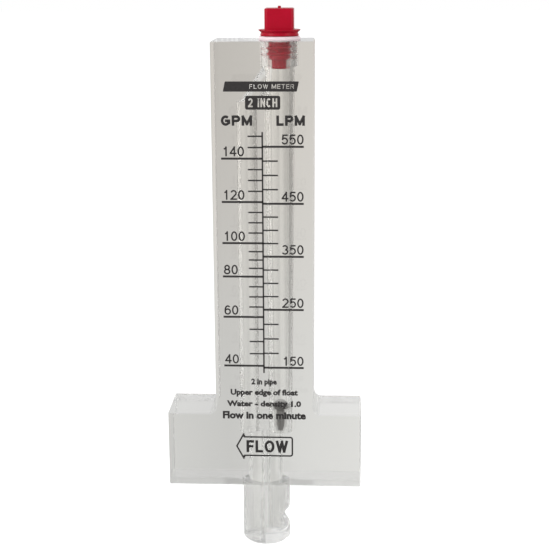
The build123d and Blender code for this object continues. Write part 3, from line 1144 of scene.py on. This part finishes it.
seal_section = (seal_high.z - seal_low.z) / 2
seal_outside = (seal_high.x - seal_low.x) / 2
bpy.ops.object.select_all(action="DESELECT")
bpy.ops.mesh.primitive_torus_add(
    major_radius=seal_outside - seal_section,
    minor_radius=seal_section,
    major_segments=96,
    minor_segments=24,
    location=(bore_x, 0, (seal_low.z + seal_high.z) / 2),
)
seal_ring = bpy.context.active_object
bpy.ops.object.transform_apply(location=True, rotation=True, scale=True)
seal_ring.name = seal_ring.data.name = "seal_ring"
for v in seal_ring.data.vertices:
    v.co.z = min(v.co.z, seal_high.z - PRESSED_FLAT)
seal_ring.data.materials.append(milky_ring())
smooth(seal_ring, math.radians(35))
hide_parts("plug_seal")
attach(seal_ring, "plug_ring")
print(f"seal_ring: {len(seal_ring.data.polygons)} faces")

# %% [markdown]
# The studio is a pale table under an even sky, and the camera sees both as white. What is seen in a clear
# block is the table, bent by its faces. So the Light Path node gives the table a second look for rays
# that come out of glass: painted light and shade in a fan of tones, spread from under the camera, bright
# at the far left, darker just left of the middle, lighter beside it and dark at the far right, over a
# painted patch of light that is brighter and whiter near the meter and warmer far off. No lamp shines
# through glass, because it would show as a hard spot. A matt surface inside it gets a stronger fan and
# sky instead.

# %% What rays see that have gone through glass
BOOST_WITHIN_GLASS = 0.9
FAN_Y, FAN_SLANT, FAN_NEAREST = 0.476, 0.065, 0.1
# Painted light and shade on the table: its brightness at each place across the fan, from left to right.
PAINTED_FAN_TONES = (
    (-0.85, 0.90), (-0.3, 0.74), (-0.08, 0.63), (-0.03, 0.575), (0.0, 0.62),
    (0.03, 0.70), (0.08, 0.74), (0.2, 0.70), (0.4, 0.36), (0.9, 0.32),
)


def light_path(finish):
    """The Light Path node's outputs, and how much brighter a matt surface inside glass sees things."""
    path = finish.node("ShaderNodeLightPath")
    diffused = path["Diffuse Depth"].math("MINIMUM", path["Diffuse Depth"], 1.0)
    return path, 1.0 + BOOST_WITHIN_GLASS * diffused


def fan_of_tones(finish, x, y):
    """Painted light and shade: tones by the direction from a point under the camera."""
    across = (x + FAN_SLANT * y) / y.math("MAXIMUM", y + FAN_Y, FAN_NEAREST)
    stops = [((place + 1) / 2, grey(tone)) for place, tone in PAINTED_FAN_TONES]
    return finish.node("ShaderNodeValToRGB", {"stops": stops}, {"Fac": across * 0.5 + 0.5})["Color"]


# %% The floor
FLOOR_DROP, FLOOR_SIZE = 0.2 * MM, 12.0
PAINTED_POOL_RADIUS = 0.5
FLECKS_PER_METRE = 300.0
FLOOR_GLOW, FLOOR_SHADE = 0.82, 0.42


def make_floor():
    """A table under the probe: white to the camera, a fan of painted light and shade to glass, matt to all
    else.
    """
    finish = Finish("pale_floor")
    flecks = finish.noise(FLECKS_PER_METRE, 2.0)
    path, boost = light_path(finish)
    x, y, _ = finish.axes(finish.place())
    # A painted patch of light makes the table brighter and whiter near the meter; painted warm light tints it
    # farther off.
    painted_light_pool = 1.0 / (1.0 + (x * x + y * y) / PAINTED_POOL_RADIUS**2)
    level = fan_of_tones(finish, x, y) * (0.90 + 0.13 * painted_light_pool) * boost
    pale = finish.blend(flecks, grey(0.86), grey(0.88))
    painted_warm_light = finish.blend(painted_light_pool, (1.0, 0.955, 0.90, 1), (1.0, 1.0, 0.985, 1))
    matt = finish.node("ShaderNodeBsdfDiffuse", None, {"Color": pale})["BSDF"]
    dim_matt = finish.node("ShaderNodeBsdfDiffuse", None, {"Color": grey(FLOOR_SHADE)})["BSDF"]
    glow = finish.node("ShaderNodeEmission", None, {"Color": grey(1.0), "Strength": FLOOR_GLOW})["Emission"]
    white = finish.node("ShaderNodeAddShader", None, {0: dim_matt, 1: glow})["Shader"]
    through_glass = finish.node("ShaderNodeEmission", None, {"Color": painted_warm_light, "Strength": level})["Emission"]
    bent, mirrored = path["Is Transmission Ray"], path["Is Glossy Ray"]
    in_glass = bent.math("MAXIMUM", bent, mirrored)
    direct = finish.node("ShaderNodeMixShader", None, {0: path["Is Camera Ray"], 1: matt, 2: white})["Shader"]
    surface = finish.node("ShaderNodeMixShader", None, {0: in_glass, 1: direct, 2: through_glass})["Shader"]
    finish.node("ShaderNodeOutputMaterial", None, {"Surface": surface})
    bpy.ops.object.select_all(action="DESELECT")
    bpy.ops.mesh.primitive_plane_add(size=FLOOR_SIZE, location=(0, 0, probe_low.z - FLOOR_DROP))
    floor = bpy.context.active_object
    floor.name = "floor"
    floor.data.materials.append(finish.material)
    print(f"floor: {FLOOR_SIZE} m wide")


make_floor()

# %% [markdown]
# The sky is white to the camera. Through glass it is brighter on the left, which gives the block's edges
# a light and a dark side. In a mirror it is nearly white, so that steel stays bright. On matt surfaces it
# is weaker, and two large soft lamps do the rest.

# %% The sky and the lamps
SKY_LEVEL, SKY_SLOPE, SKY_LEAST = 0.62, 0.4, 0.25
MIRRORED_SKY, MATT_SKY = 0.95, 0.6
LAMP_AIM = (0, 0, 0.09)


def make_sky():
    """A world whose strength depends on how a ray gets there."""
    world = bpy.data.worlds.new("studio")
    bpy.context.scene.world = world
    world.use_nodes = True
    studio = Finish("studio", world.node_tree)
    path, boost = light_path(studio)
    x, _, _ = studio.axes(studio.node("ShaderNodeTexCoord")["Generated"])
    level = SKY_LEVEL - SKY_SLOPE * x
    level = level.math("MINIMUM", level.math("MAXIMUM", level, SKY_LEAST), 1.0)
    seen, bent, mirrored = path["Is Camera Ray"], path["Is Transmission Ray"], path["Is Glossy Ray"]
    outside = mirrored * MIRRORED_SKY + (1.0 - mirrored) * MATT_SKY
    strength = seen + (1.0 - seen) * (bent * level * boost + (1.0 - bent) * outside)
    sky = {"Color": grey(1.0), "Strength": strength}
    shader = studio.node("ShaderNodeBackground", None, sky)["Background"]
    studio.node("ShaderNodeOutputWorld", None, {"Surface": shader})


def make_lamp(name, place, size, power):
    """A large soft lamp that doesn't show inside glass."""
    data = bpy.data.lights.new(name, "AREA")
    data.shape = "RECTANGLE"
    data.size, data.size_y = size
    data.energy = power
    lamp = bpy.data.objects.new(name, data)
    bpy.context.scene.collection.objects.link(lamp)
    lamp.location = place
    lamp.rotation_euler = (Vector(LAMP_AIM) - Vector(place)).to_track_quat("-Z", "Y").to_euler()
    lamp.visible_transmission = False
    print(f"{name}: {power} W")


make_sky()
make_lamp("left_lamp", (-0.7, -0.5, 0.6), (0.6, 0.8), 6.0)
make_lamp("right_lamp", (0.8, -0.4, 0.4), (0.4, 0.6), 2.5)
bpy.context.scene.view_settings.view_transform = "Standard"
